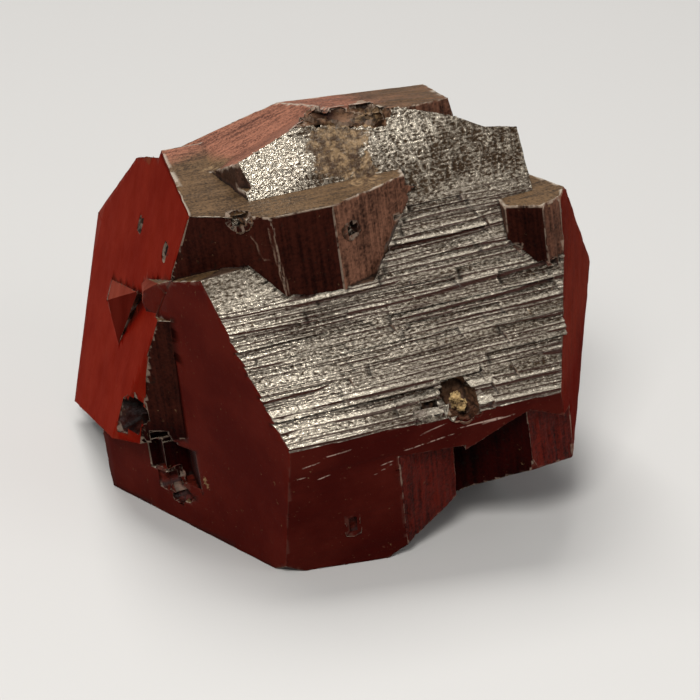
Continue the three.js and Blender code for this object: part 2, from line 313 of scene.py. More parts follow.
def lip_strength(p, lip, seed):
    """How far a lip is cut at a point, from 0 where it heals over to 1."""
    t = p @ ALONG
    cut = layered(columns(t * 0.1, lip * 7.31, 0), seed + 11)
    top = 2.2 + 4.6 * smooth(t, -4.5, -1.5)
    return smooth(cut, 0.4, 0.6) * (1 - smooth(p @ SLOPE, top - 0.8, top + 1.4))


def big_relief(p):
    """Growth sheets along X, each cut back a little under the next one's lip."""
    s = p @ SLOPE
    total = 0.02 * layered(p * 0.8, 31)
    for spacing, step, seed in SHEETS.values():
        count = sheet_lines(p, spacing, seed)
        part = count - np.floor(count)
        total = total + step * lip_strength(p, np.ceil(count), seed) * part ** 2.5
    upper = smooth(s, *UPPER_PART)
    crumple = layered(columns(p[:, 0] * 1.1, s * 0.55, 0), 37)
    return total + upper * (0.12 * layered(p * 0.45, 33) + 0.1 * crumple)


def low_relief(p):
    ledges = stairs(layered(columns(p[:, 0] * 0.06, p[:, 2] * 0.9, 0), 41), 9, 0.2)
    return 0.16 * ledges + 0.012 * layered(p * 0.5, 43)


def plain_relief(p):
    return 0.03 * layered(p * 0.35, 47) + 0.01 * layered(p * 1.6, 49)


def roof_relief(p):
    lines = layered(columns(p[:, 0] * 0.12, p[:, 1] * 1.3, p[:, 2] * 0.3), 53)
    return 0.16 * stairs(lines, 9, 0.3) + 0.03 * layered(p * 1.5, 57)


def near_lines(p, lines, width):
    """1 on thin lines drawn through points on a face, falling to 0 at their width."""
    total = np.zeros(len(p))
    for points in lines:
        for start, end in zip(points, points[1:]):
            start, run = np.array(start), np.array(end) - np.array(start)
            part = np.clip((p - start) @ run / (run @ run), 0, 1)
            away = np.linalg.norm(p - start - part[:, None] * run, axis=1)
            total = np.maximum(total, 1 - np.clip(away / width, 0, 1))
    return total


def drawn_on(direction, depth, given, *lines):
    """Lines on a flat face: each point has two coordinates given, and the face gives the third."""
    normal = unit(direction)
    missing = 3 - sum(given)  # because the numbers of the three coordinates add up to 3
    placed = []
    for line in lines:
        points = np.zeros((len(line), 3))
        points[:, given] = line
        points[:, missing] = (depth - points @ normal) / normal[missing]
        placed.append(list(points))
    return placed


# The distances from the crystals' centre of the faces that carry lines.
SLAB_LEFT_DEPTH, SLAB_FRONT_DEPTH, LOW_DEPTH = 8.59, 7.64, 12.97
SIDE_DEPTH, LEFT_DEPTH = 13.96, 12.1
LINE_WIDTH = 0.16  # of the seams, streaks and scratches
XZ, YZ = (0, 2), (1, 2)  # the coordinates given on a face that looks to the front or to the left

# Raised seams on the slab's front.
SEAMS = drawn_on(
    SLAB_LEFT, SLAB_LEFT_DEPTH, XZ,
    [(-6.0, 11.9), (-5.75, 11.55), (-5.6, 10.85), (-5.55, 10.2), (-5.35, 10.05), (-4.9, 10.1)],
    [(-4.75, 12.45), (-4.65, 10.85), (-4.45, 8.85), (-4.25, 7.45)],
) + drawn_on(
    SLAB_FRONT, SLAB_FRONT_DEPTH, XZ,
    [(-4.45, 11.95), (-4.3, 10.2), (-4.05, 8.35), (-3.9, 6.9)],
)
# Bright streaks under the lower edge of the big face.
STREAKS = drawn_on(
    KINDS["low"][0], LOW_DEPTH, XZ,
    [(-6.6, -5.3), (-5.5, -5.2)], [(-4.1, -3.85), (-2.0, -3.75)], [(-0.1, -5.95), (1.1, -5.75)],
    [(1.7, -5.1), (5.6, -4.7)], [(2.8, -4.1), (5.5, -3.5)], [(7.8, -4.45), (10.9, -4.3)],
    [(-6.0, -4.35), (-4.6, -4.2)], [(5.8, -4.3), (9.3, -4.25)], [(-4.6, -5.7), (-3.9, -5.6)],
    [(0.9, -6.05), (-0.7, -6.75)],
)
# Scratches on the left side face and at the top of the left face.
SCRATCHES = drawn_on(
    KINDS["side"][0], SIDE_DEPTH, YZ,
    [(13.95, 4.15), (11.4, 4.15)], [(13.0, 4.9), (9.3, 4.5)], [(14.0, 5.55), (13.4, 5.15)],
) + drawn_on(
    KINDS["left"][0], LEFT_DEPTH, YZ,
    [(-1.1, 4.9), (-2.7, 5.25)],
)


def prism_relief(p):
    grooves = layered(columns(p[:, 0] * 1.7, p[:, 1] * 0.6, p[:, 2] * 0.05), 61)
    low = 0.07 + 0.16 * stairs(grooves, 7, 0.3) + 0.02 * layered(p * 0.8, 63)
    return low * (1 - near_lines(p, SEAMS, LINE_WIDTH))


def flank_relief(p):
    """Grooves along Z, with pores in rows."""
    grooves = layered(columns(p[:, 0] * 1.9, p[:, 1] * 0.8, p[:, 2] * 0.08), 65)
    pores = layered(columns(p[:, 0] * 3.2, p[:, 1] * 1.6, p[:, 2] * 0.9), 67)
    return 0.22 * stairs(grooves, 8, 0.3) + 0.14 * smooth(pores, 0.6, 0.72)


def back_relief(p):
    lines = layered(columns(p[:, 0] * 0.1, p[:, 1] * 1.1, p[:, 2] * 1.1), 71)
    return 0.2 * stairs(lines, 8, 0.25) + 0.04 * layered(p * 0.9, 73)


def rough_relief(p):
    return 0.13 * layered(p * 1.1, 83, 4)


def hollow_relief(p):
    """Crumbly rock in the hollows: lumps and small sharp pits."""
    lumps = layered(p * np.array((1, 1, 1.4)), 87, 4)
    return 0.9 * stairs(lumps, 9, 0.45) + 0.1 * layered(p * 3.1, 89)


RELIEF = {
    "big": big_relief, "low": low_relief, "left": plain_relief, "side": plain_relief,
    "hill_top": plain_relief, "hill_side": plain_relief,
    "right": rough_relief, "roof": roof_relief, "prism": prism_relief,
    "flank": flank_relief, "back": back_relief, "rough": rough_relief,
    "ledge": big_relief, "hollow": hollow_relief,
}


DEEPEST = 0.6  # the most that the relief moves a vertex
NORMAL_STEPS = 12  # normals that round to the same steps count as one flat face


def faces_round(mesh):
    """For each vertex, the flat faces that meet there: summed normal, and area by kind."""
    around = {}
    for face in mesh.faces:
        n = face.normal
        key = (round(n.x * NORMAL_STEPS), round(n.y * NORMAL_STEPS), round(n.z * NORMAL_STEPS))
        area = face.calc_area()
        for vert in face.verts:
            found = around.setdefault(vert.index, {}).setdefault(key, [Vector(), {}])
            found[0] += n * area
            found[1][face.material_index] = found[1].get(face.material_index, 0) + area
    return around


def sink(mesh):
    """Moves every vertex inwards by its faces' relief, so that edges between faces stay sharp."""
    mesh.verts.index_update()
    places = np.array([v.co for v in mesh.verts])
    depth = np.stack([RELIEF[name](places) for name in KINDS])
    around = faces_round(mesh)
    by_count = {}
    for index, found in around.items():
        by_count.setdefault(len(found), []).append(index)
    for count, indices in by_count.items():
        normals = np.zeros((len(indices), count, 3))
        wanted = np.zeros((len(indices), count))
        for row, index in enumerate(indices):
            for column, (total, kinds) in enumerate(around[index].values()):
                normals[row, column] = total.normalized()
                wanted[row, column] = depth[max(kinds, key=kinds.get), index]
        moves = np.einsum("nij,nj->ni", np.linalg.pinv(normals, rcond=0.25), wanted)
        length = np.linalg.norm(moves, axis=1, keepdims=True)
        moves *= np.minimum(1, DEEPEST / np.maximum(length, 1e-9))
        places[indices] -= moves
    return places


SHARP = math.radians(32)  # edges that turn more than this are shaded sharp


def placed(name, data):
    """An object that shows this data, linked to the scene."""
    made = bpy.data.objects.new(name, data)
    bpy.context.scene.collection.objects.link(made)
    return made


def finished(name, mesh, places, materials):
    """A piece in the row frame from a bmesh and its new places."""
    for vert, place in zip(mesh.verts, to_row(places)):
        vert.co = place
    data = bpy.data.meshes.new(name)
    mesh.to_mesh(data)
    mesh.free()
    for material in materials:
        data.materials.append(material)
    data.shade_smooth()
    data.set_sharp_from_angle(angle=SHARP)
    return placed(name, data)


# ---- Marks that the finishes read, one number at each vertex ----

# Spots, each with its centre, radius and strength.
RUSTY = [  # limonite
    ((2.2, -2.5, 15.3), 3.0, 1.0), ((3.6, -4.0, 13.2), 1.8, 0.8), ((5.6, 1.4, 15.9), 1.7, 1.0),
    ((-6.3, 2.8, 13.6), 1.6, 0.6), ((-12.0, -3.7, -8.0), 0.45, 1.5),
    ((6.3, -11.4, -2.2), 1.2, 0.8), ((12.6, -7.6, 9.2), 0.8, 0.8),
]
# Painted highlights on the big face, where it is also a little smoother.
BIG_FACE_HIGHLIGHTS = [  # the brighter parts of the big face
    ((-4.0, -2.0, 15.0), 5.0, 1.0), ((6.0, -1.5, 16.5), 4.0, 0.3),
    ((-5.0, -12.0, -0.5), 6.0, 0.8), ((-8.0, -9.0, 5.0), 4.5, 0.6), ((0.5, -10.0, 2.5), 5.0, 0.2),
]
DULL_CORNERS = [((-9.6, 12.4, 12.5), 1.5, 1.0)]
HOLE_SHADE = [  # painted shade, as in deep holes and recesses
    ((-15.7, 2.0, -3.7), 2.6, 1.0), ((1.5, -6.7, 10.8), 0.9, 0.9), ((-11.4, 10.0, 7.6), 0.9, 0.8),
    ((-11.2, 0.5, 9.2), 0.9, 1.0), ((2.6, 2.6, 16.6), 1.5, 1.0), ((7.2, -11.0, -1.2), 0.9, 0.7),
    ((16.2, -7.7, 7.0), 4.0, 0.45),
]


def patches(places, spots):
    """The strongest of the spots at each place, their outlines wandering."""
    total = np.zeros(len(places))
    sway = columns(*(layered(places * 0.8, seed) for seed in (95, 96, 97))) - 0.5
    for centre, radius, strength in spots:
        away = np.linalg.norm(places + 0.9 * radius * sway - np.array(centre), axis=1) / radius
        total = np.maximum(total, strength * smooth(away, 1.15, 0.25))
    return total


def touched(mesh, name):
    """Whether each vertex is on a face of this kind."""
    found = np.zeros(len(mesh.verts), bool)
    for face in mesh.faces:
        if face.material_index == NUMBER[name]:
            found[[v.index for v in face.verts]] = True
    return found


RIDGE, CREASE = 0.35, -0.3  # how far an edge turns, in radians
NARROW = 0.16  # the rows of faces beside an edge that are too narrow to show its pale line
# Strength of the pale edge line, painted highlight and wear, on the roof and elsewhere.
ROOF_EDGE_HIGHLIGHT_AND_WEAR, OTHER_EDGE_HIGHLIGHT_AND_WEAR = 1, 0.62


def edge_marks(mesh):
    """How strongly each vertex takes the pale edge line, painted highlight and wear, from the sharp
    edges that meet there, and where the creases are.
    """
    edge, crease = np.zeros(len(mesh.verts)), np.zeros(len(mesh.verts))
    for side in mesh.edges:
        turn = side.calc_face_angle_signed(0)
        ends = [v.index for v in side.verts]
        if turn > RIDGE:
            roof = NUMBER["roof"] in [f.material_index for f in side.link_faces]
            edge[ends] = np.maximum(edge[ends], ROOF_EDGE_HIGHLIGHT_AND_WEAR if roof else OTHER_EDGE_HIGHLIGHT_AND_WEAR)
        elif turn < CREASE:
            crease[ends] = 1
    sharp = edge.copy()
    for side in mesh.edges:
        if side.calc_length() < NARROW:
            ends = [v.index for v in side.verts]
            edge[ends] = np.maximum(edge[ends], sharp[ends].max())
    return edge, crease


def surface_marks(mesh):
    """The masks at each vertex, from its place and from the edges that meet there."""
    mesh.verts.index_update()
    places = np.array([v.co for v in mesh.verts])
    edge, crease = edge_marks(mesh)
    high = smooth(places[:, 2] + 0.12 * places[:, 1], 13.9, 15.1)
    marks = {
        "edge": edge,
        "crease": crease,
        "rust": patches(places, RUSTY),
        "highlight_and_wear": patches(places, BIG_FACE_HIGHLIGHTS),
        # painted highlights on the big face
        "upper": smooth(places @ SLOPE, *UPPER_PART),
        "streak": near_lines(places, STREAKS + SCRATCHES + SEAMS, LINE_WIDTH),
        "red": high * (1 - 0.6 * smooth(places[:, 0], 2, 8)),
        # painted shade, darker towards the bottom
        "under": smooth(places[:, 2], -2.0, -5.5),
        # painted shade in deep holes and recesses
        "deep": patches(places, HOLE_SHADE),
        "corner": patches(places, DULL_CORNERS),
    }
    big = touched(mesh, "big")
    for name, (spacing, _, seed) in SHEETS.items():
        count = sheet_lines(places, spacing, seed)
        marks[name + "_sheets"] = count
        marks[name + "_lips"] = lip_strength(places, np.round(count), seed) * big
    return marks


# ---- Node trees ----

def give(tree, socket, value):
    """Links a socket to another one, or sets it to a value; three numbers make an opaque colour."""
    if isinstance(value, bpy.types.NodeSocket):
        tree.links.new(value, socket)
    elif socket.type == "RGBA":
        socket.default_value = (*value, 1)
    else:
        socket.default_value = value


def fill(tree, node, inputs):
    """Gives a node's inputs their sockets or values."""
    for name, value in inputs.items():
        give(tree, node.inputs[name], value)


def put(tree, kind, inputs=None, **settings):
    """Adds a shader node, with its inputs linked to sockets or set to values."""
    made = tree.nodes.new("ShaderNode" + kind)
    for name, value in settings.items():
        setattr(made, name, value)
    fill(tree, made, inputs or {})
    return made


def maths(tree, operation, *values, clamp=False):
    inputs = dict(enumerate(values))
    return put(tree, "Math", inputs, operation=operation, use_clamp=clamp).outputs[0]


def plus(tree, *values):
    """The sum of two or more values."""
    total = values[0]
    for value in values[1:]:
        total = maths(tree, "ADD", total, value)
    return total


def less(tree, value, taken, clamp=False):
    return maths(tree, "SUBTRACT", value, taken, clamp=clamp)


def times(tree, value, factor, clamp=False):
    return maths(tree, "MULTIPLY", value, factor, clamp=clamp)


def mix(tree, amount, first, second, blend="MIX"):
    """A mix of two colours."""
    made = put(tree, "Mix", data_type="RGBA", blend_type=blend, clamp_result=True)
    sockets = [s for s in made.inputs if s.name == "Factor" and s.type == "VALUE"][:1]
    sockets += [s for s in made.inputs if s.type == "RGBA"]
    for socket, value in zip(sockets, (amount, first, second)):
        give(tree, socket, value)
    return [s for s in made.outputs if s.type == "RGBA"][0]


def between(tree, value, low, high, start=0.0, end=1.0):
    """A soft step from start to end while the value goes from low to high."""
    return put(tree, "MapRange", {
        "Value": value, "From Min": low, "From Max": high, "To Min": start, "To Max": end,
    }, interpolation_type="SMOOTHSTEP").outputs[0]


def dot(tree, vector, direction):
    made = put(tree, "VectorMath", {0: vector, 1: tuple(direction)}, operation="DOT_PRODUCT")
    return made.outputs["Value"]


def cloud(tree, vector, scale=1.0, detail=2.0, roughness=0.5):
    """Noise from about 0.25 to 0.75."""
    return put(tree, "TexNoise", {
        "Vector": vector, "Scale": scale, "Detail": detail, "Roughness": roughness,
    }).outputs["Fac"]


def stretched(tree, place, along, across, a, b, depth=0.0):
    """Coordinates stretched along one direction of a face and packed across it."""
    return put(tree, "CombineXYZ", {
        "X": times(tree, dot(tree, place, along), a),
        "Y": times(tree, dot(tree, place, across), b),
        "Z": depth,
    }).outputs[0]


def attribute(tree, name):
    return put(tree, "Attribute", attribute_name=name).outputs["Fac"]


def crystal_place(tree):
    """The surface point in the crystals' axes, in millimetres."""
    point = put(tree, "TexCoord").outputs["Object"]
    back = AXES.to_matrix().transposed()
    return put(tree, "Mapping", {
        "Vector": point, "Location": -(back @ CENTRE), "Rotation": back.to_euler("XYZ"),
        "Scale": (1000, 1000, 1000),
    }).outputs[0]


# ---- Effects that several finishes use ----

def new_group(name, inputs, outputs):
    """A shader node group with named sockets: its tree, the sockets given to it and its results."""
    tree = bpy.data.node_groups.new(name, "ShaderNodeTree")
    for label, kind, value in inputs:
        socket = tree.interface.new_socket(label, in_out="INPUT", socket_type="NodeSocket" + kind)
        if value is not None:
            socket.default_value = value
    for label, kind in outputs:
        tree.interface.new_socket(label, in_out="OUTPUT", socket_type="NodeSocket" + kind)
    given = tree.nodes.new("NodeGroupInput").outputs
    result = tree.nodes.new("NodeGroupOutput").inputs
    return tree, given, result


def use(tree, group, inputs):
    """Places a group in a material with its own values."""
    made = tree.nodes.new("ShaderNodeGroup")
    made.node_tree = group
    fill(tree, made, inputs)
    return made.outputs


# The colour that the creases are darkened to.
CREASE_DARK = (0.006, 0.004, 0.003)


def edge_highlight_and_wear_group():
    """Pale lines along sharp edges, painted highlight and wear, and darker creases."""
    tree, given, result = new_group("edge_highlight_and_wear", [
        ("Place", "Vector", None), ("Skin colour", "Color", None), ("Highlight and wear colour", "Color", None),
        ("Edge highlight and wear", "Float", 0.6), ("Crease darkening", "Float", 0.6),
    ], [("Colour", "Color")])
    broken = between(tree, cloud(tree, given["Place"], 0.9, 3, 0.6), 0.38, 0.54)
    edge = between(tree, attribute(tree, "edge"), 0.4, 0.9)
    # Painted highlight and wear along the sharp edges.
    highlight_and_wear = times(tree, times(tree, edge, broken), given["Edge highlight and wear"], clamp=True)
    # Darker in the creases.
    crease = between(tree, attribute(tree, "crease"), 0.2, 0.95)
    crease_darkening = times(tree, crease, given["Crease darkening"], clamp=True)
    crease_darkened = mix(tree, crease_darkening, given["Skin colour"], CREASE_DARK)
    tree.links.new(mix(tree, highlight_and_wear, crease_darkened, given["Highlight and wear colour"]), result["Colour"])
    return tree


def rust_group():
    """Yellow-brown limonite in earthy patches."""
    tree, given, result = new_group("limonite_patches", [
        ("Place", "Vector", None), ("Skin colour", "Color", None), ("Amount", "Float", 1.0),
    ], [("Colour", "Color"), ("Mask", "Float")])
    speckle = cloud(tree, given["Place"], 1.5, 5, 0.75)
    patch = times(tree, attribute(tree, "rust"), given["Amount"])
    ragged = less(tree, times(tree, speckle, 2.2), 1.35)
    level = plus(tree, times(tree, patch, 1.2), ragged)
    mask = between(tree, level, 0.05, 0.3, 0.0, 0.85)
    tone = between(tree, cloud(tree, given["Place"], 1.9, 5, 0.7), 0.40, 0.68)
    rust = mix(tree, tone, (0.060, 0.030, 0.013), (0.36, 0.23, 0.115))
    tree.links.new(mix(tree, mask, given["Skin colour"], rust), result["Colour"])
    tree.links.new(mask, result["Mask"])
    return tree


def grain_group():
    """The close grain of altered pyrite: pin-point crystals, with scattered pores."""
    tree, given, result = new_group("close_grain", [
        ("Place", "Vector", None), ("Size", "Float", 0.15), ("Stretch", "Vector", (1, 1, 1)),
    ], [("Height", "Float"), ("Pores", "Float")])
    place = put(tree, "VectorMath", {0: given["Place"], 1: given["Stretch"]}, operation="MULTIPLY")
    fine = put(tree, "VectorMath", {
        0: place.outputs[0], "Scale": maths(tree, "DIVIDE", 1.0, given["Size"]),
    }, operation="SCALE").outputs[0]
    cells = put(tree, "TexVoronoi", {"Vector": fine, "Scale": 0.7}).outputs["Distance"]
    body = cloud(tree, fine, 1.0, 3, 0.65)
    tree.links.new(plus(tree, body, times(tree, cells, 0.35)), result["Height"])
    tree.links.new(between(tree, cloud(tree, fine, 0.45, 2, 0.7), 0.62, 0.72), result["Pores"])
    return tree


EDGE_HIGHLIGHT_AND_WEAR = edge_highlight_and_wear_group()
LIMONITE = rust_group()
CLOSE_GRAIN = grain_group()


# ---- Finishes ----

def new_material(name):
    material = bpy.data.materials.new(name)
    material.use_nodes = True
    tree = material.node_tree
    return material, tree, tree.nodes["Principled BSDF"]


def weathered_with_edge_highlights(tree, place, skin, limonite, highlight_and_wear_colour, edge_highlight_and_wear_amount, crease_darkening):
    """Limonite, pale edge lines of painted highlight and wear, and darker creases over a skin: the
    colour, and the limonite's mask.
    """
    rust = use(tree, LIMONITE, {"Place": place, "Skin colour": skin, "Amount": limonite})
    highlight_and_wear = use(tree, EDGE_HIGHLIGHT_AND_WEAR, {
        "Place": place, "Skin colour": rust["Colour"], "Highlight and wear colour": highlight_and_wear_colour,
        "Edge highlight and wear": edge_highlight_and_wear_amount, "Crease darkening": crease_darkening,
    })
    return highlight_and_wear["Colour"], rust["Mask"]


BUMP_DEPTH = 0.0001  # metres
PLAIN_GLANCE = (1, 1, 1)
RED_GLANCE = (1.0, 0.36, 0.30)  # the tint of the part-metallic red faces at a glancing angle


def dress(tree, shader, colour, roughness, height, bump,
          metallic=0.0, specular=0.5, glance=PLAIN_GLANCE):
    """Gives a shader its colour, gloss and bump; specular level and tint are the same all over."""
    normal = put(tree, "Bump", {"Height": height, "Strength": bump, "Distance": BUMP_DEPTH})
    fill(tree, shader, {
        "Base Color": colour, "Roughness": roughness, "Metallic": metallic,
        "Normal": normal.outputs[0], "Specular IOR Level": specular, "Specular Tint": glance,
    })


def lip_line(tree, name, width):
    """The dark gap under each sheet's lip, a painted shadow, and the bright lip over it, a painted
    highlight.
    """
    count = attribute(tree, name + "_sheets")
    cut = attribute(tree, name + "_lips")
    away = less(tree, count, maths(tree, "ROUND", count))
    reach = times(tree, cut, width)
    below = put(tree, "MapRange", {
        "Value": away, "From Min": times(tree, reach, -1.0), "From Max": times(tree, reach, -0.4),
    }).outputs[0]
    gap = times(tree, below, maths(tree, "LESS_THAN", away, 0.03))
    gap = times(tree, gap, between(tree, cut, 0.1, 0.4))
    from_lip = maths(tree, "ABSOLUTE", less(tree, away, times(tree, reach, 0.8)))
    over = between(tree, from_lip, 0.0, width, 1.0, 0.0)
    return gap, times(tree, over, cut)


def bright_net(tree, place, highlight_and_wear, upper):
    """The bright network of crumpled skin on the big face's upper part: a painted highlight,
    stronger in the big face's painted highlights, that also raises the bump.
    """
    wander = times(tree, cloud(tree, place, 1.3, 2, 0.6), 2.6)
    cells = put(tree, "TexVoronoi", {
        "Vector": stretched(tree, place, ALONG, SLOPE, 2.2, 1.7, wander), "Scale": 1.0,
    }, feature="DISTANCE_TO_EDGE").outputs["Distance"]
    net = times(tree, between(tree, cells, 0.02, 0.2, 1.0, 0.0), upper)
    return times(tree, net, plus(tree, 0.2, times(tree, highlight_and_wear, 0.8)))


def striated_pewter():
    """The big face: metallic grey-olive, with growth lines along X and a close, sparkling grain;
    its bright patches, sparkle, lips and gaps are partly painted light.
    """
    material, tree, shader = new_material("striated_pewter")
    place = crystal_place(tree)
    grain = use(tree, CLOSE_GRAIN, {"Place": place, "Size": 0.14, "Stretch": (0.6, 1, 1)})
    fleck = cloud(tree, stretched(tree, place, ALONG, SLOPE, 3.2, 5.5), 1.0, 2, 0.6)
    hair = cloud(tree, stretched(tree, place, ALONG, SLOPE, 0.2, 4.5), 1.0, 3, 0.6)
    shade = cloud(tree, stretched(tree, place, ALONG, SLOPE, 0.12, 0.5, 4.0), 1.0, 3, 0.6)
    # Painted shadow in the gaps under the sheets' lips, and painted highlights on the lips.
    wide_gap, wide_lip = lip_line(tree, "wide", 0.17)
    fine_gap, fine_lip = lip_line(tree, "fine", 0.24)
    hair_gap, _ = lip_line(tree, "hair", 0.34)
    dark = maths(tree, "MAXIMUM", wide_gap, times(tree, fine_gap, 0.9))
    dark = maths(tree, "MAXIMUM", dark, times(tree, hair_gap, 0.85))
    lip = maths(tree, "MAXIMUM", wide_lip, times(tree, fine_lip, 0.7))
    # Painted highlights where the big face shone brightest; the face is also smoother there.
    highlight_and_wear = attribute(tree, "highlight_and_wear")
    upper = attribute(tree, "upper")
    crumple = cloud(tree, stretched(tree, place, ALONG, SLOPE, 1.7, 0.6, 7.0), 1.0, 3, 0.6)
    crumple = times(tree, less(tree, crumple, 0.5), upper)
    net = bright_net(tree, place, highlight_and_wear, upper)
    # The flecks' light and dark colour is partly painted glint, stronger in the painted highlights,
    # and the upper part is painted dimmer outside them.
    spark = times(tree, less(tree, fleck, 0.5), plus(tree, 1.2, times(tree, highlight_and_wear, 2.6)))
    spark = plus(tree, spark, times(tree, net, 0.55))
    dim = times(tree, upper, less(tree, 1.0, highlight_and_wear))
    spark = less(tree, spark, times(tree, dim, 0.13))
    tone = plus(
        tree, spark, times(tree, highlight_and_wear, 0.44), times(tree, hair, 0.5), times(tree, shade, 0.5),
        times(tree, lip, 0.3), times(tree, crumple, 0.7),
    )
    skin = mix(tree, between(tree, tone, 0.22, 1.3), (0.036, 0.021, 0.011), (0.82, 0.72, 0.57))
    skin = mix(tree, dark, skin, (0.034, 0.009, 0.0045))
    colour, rusty = weathered_with_edge_highlights(tree, place, skin, 1.0, (0.6, 0.53, 0.43), edge_highlight_and_wear_amount=0.22, crease_darkening=0.6)
    bare = less(tree, 0.8, times(tree, rusty, 0.8))
    metal = times(tree, less(tree, 1.0, dark), bare, clamp=True)
    rough = less(tree, 0.53, times(tree, fleck, 0.4))
    rough = less(tree, rough, times(tree, highlight_and_wear, 0.1), clamp=True)
    height = plus(tree, times(tree, grain["Height"], 0.8), times(tree, fleck, 0.8))
    height = plus(tree, height, plus(tree, times(tree, crumple, 1.5), net))
    height = less(tree, height, times(tree, dark, 0.5))
    dress(tree, shader, colour, rough, height, bump=1.0, metallic=metal, specular=0.2)
    return material


def liver_skin(name, deep, light, **gloss):
    """The smooth cube-like faces: deep liver brown, almost even, with faint lines and clouds; each
    copy's colours are partly painted light and painted reflection.
    """
    material, tree, shader = new_material(name)
    place = crystal_place(tree)
    clouds = between(tree, cloud(tree, place, 0.16, 4, 0.6), 0.35, 0.68)
    grain = use(tree, CLOSE_GRAIN, {"Place": place, "Size": 0.25})
    skin = mix(tree, clouds, deep, light)
    corner = between(tree, attribute(tree, "corner"), 0.45, 0.55)
    skin = mix(tree, corner, skin, (0.13, 0.055, 0.03))
    specks = between(tree, cloud(tree, place, 3.5, 2, 0.5), 0.68, 0.76)
    skin = mix(tree, times(tree, specks, 0.12), skin, (0.25, 0.12, 0.07))
    streak = between(tree, attribute(tree, "streak"), 0.5, 0.95)
    streak = times(tree, streak, between(tree, cloud(tree, place, 1.6, 3, 0.7), 0.4, 0.52))
    skin = mix(tree, streak, skin, (0.36, 0.25, 0.20))
    colour, _ = weathered_with_edge_highlights(tree, place, skin, 1.0, (0.3, 0.2, 0.15), edge_highlight_and_wear_amount=0.16, crease_darkening=0.6)
    rough = plus(tree, 0.28, times(tree, cloud(tree, place, 0.5, 3, 0.6), 0.2))
    height = plus(tree, grain["Height"], times(tree, grain["Pores"], -0.8))
    dress(tree, shader, colour, rough, height, bump=0.12, **gloss)
    return material


def brown_break(name, along, across, dull, bright, pack=2.0, stretch=0.1, bump=0.6, **gloss):
    """Duller brown faces: lined along one direction, with a close grain and pores."""
    material, tree, shader = new_material(name)
    place = crystal_place(tree)
    grain = use(tree, CLOSE_GRAIN, {"Place": place, "Size": 0.2})
    lined = stretched(tree, place, unit(along), unit(across), stretch, pack)
    lines = cloud(tree, lined, 1.0, 4, 0.65)
    clouds = cloud(tree, place, 0.3, 4, 0.6)
    tone = plus(
        tree, times(tree, lines, 0.9), times(tree, clouds, 0.6), times(tree, grain["Height"], 0.5),
    )
    skin = mix(tree, between(tree, tone, 0.75, 1.35), dull, bright)
    # Painted shade: darker and redder towards the bottom.
    under = times(tree, attribute(tree, "under"), 0.94)
    skin = mix(tree, under, skin, (0.42, 0.035, 0.022), "MULTIPLY")
    # Painted shade in deep holes and recesses.
    skin = mix(tree, attribute(tree, "deep"), skin, (0.10, 0.03, 0.02), "MULTIPLY")
    skin = mix(tree, times(tree, grain["Pores"], 0.6), skin, (0.01, 0.006, 0.004))
    streak = between(tree, attribute(tree, "streak"), 0.35, 0.9)
    streak = times(tree, streak, between(tree, cloud(tree, place, 1.4, 3, 0.7), 0.3, 0.5))
    skin = mix(tree, streak, skin, (0.13, 0.08, 0.055))
    colour, _ = weathered_with_edge_highlights(tree, place, skin, 1.0, (0.36, 0.27, 0.20), edge_highlight_and_wear_amount=0.9, crease_darkening=0.7)
    rough = plus(tree, 0.38, times(tree, lines, 0.25))
    height = plus(tree, times(tree, grain["Height"], 0.6), lines)
    dress(tree, shader, colour, rough, height, bump, **gloss)
    return material


def roof_skin():
    """The tops: olive brown on the slab, redder on the crest, fine-lined along X."""
    material, tree, shader = new_material("olive_roof")
    place = crystal_place(tree)
    grain = use(tree, CLOSE_GRAIN, {"Place": place, "Size": 0.16})
    lines = cloud(tree, stretched(tree, place, ALONG, Y, 0.22, 2.6), 1.0, 4, 0.7)
    clouds = cloud(tree, place, 0.35, 4, 0.6)
    tone = between(tree, plus(
        tree, times(tree, lines, 0.8), times(tree, clouds, 0.5), times(tree, grain["Height"], 0.7),
    ), 0.88, 1.32)
    olive = mix(tree, tone, (0.036, 0.019, 0.008), (0.16, 0.090, 0.040))
    red = mix(tree, tone, (0.080, 0.026, 0.014), (0.35, 0.138, 0.080))
    redness = plus(tree, attribute(tree, "red"), times(tree, clouds, 0.5))
    skin = mix(tree, between(tree, redness, 0.5, 1.1), olive, red)
    colour, _ = weathered_with_edge_highlights(tree, place, skin, 0.9, (0.5, 0.42, 0.33), edge_highlight_and_wear_amount=0.75, crease_darkening=0.2)
    height = plus(tree, times(tree, grain["Height"], 0.8), lines)
    rough = plus(tree, 0.4, times(tree, lines, 0.2))
    dress(tree, shader, colour, rough, height, bump=0.8, specular=0.15)
    return material


def buff_grain():
    """The grain of country rock: buff, crumbly, with darker specks."""
    material, tree, shader = new_material("buff_rock")
    place = crystal_place(tree)
    grain = use(tree, CLOSE_GRAIN, {"Place": place, "Size": 0.22})
    tone = between(tree, cloud(tree, place, 2.2, 4, 0.7), 0.36, 0.62)
    skin = mix(tree, tone, (0.12, 0.07, 0.03), (0.56, 0.38, 0.165))
    skin = mix(tree, times(tree, grain["Pores"], 0.7), skin, (0.05, 0.03, 0.015))
    dress(tree, shader, skin, 0.85, grain["Height"], bump=0.9, specular=0.2)
    return material


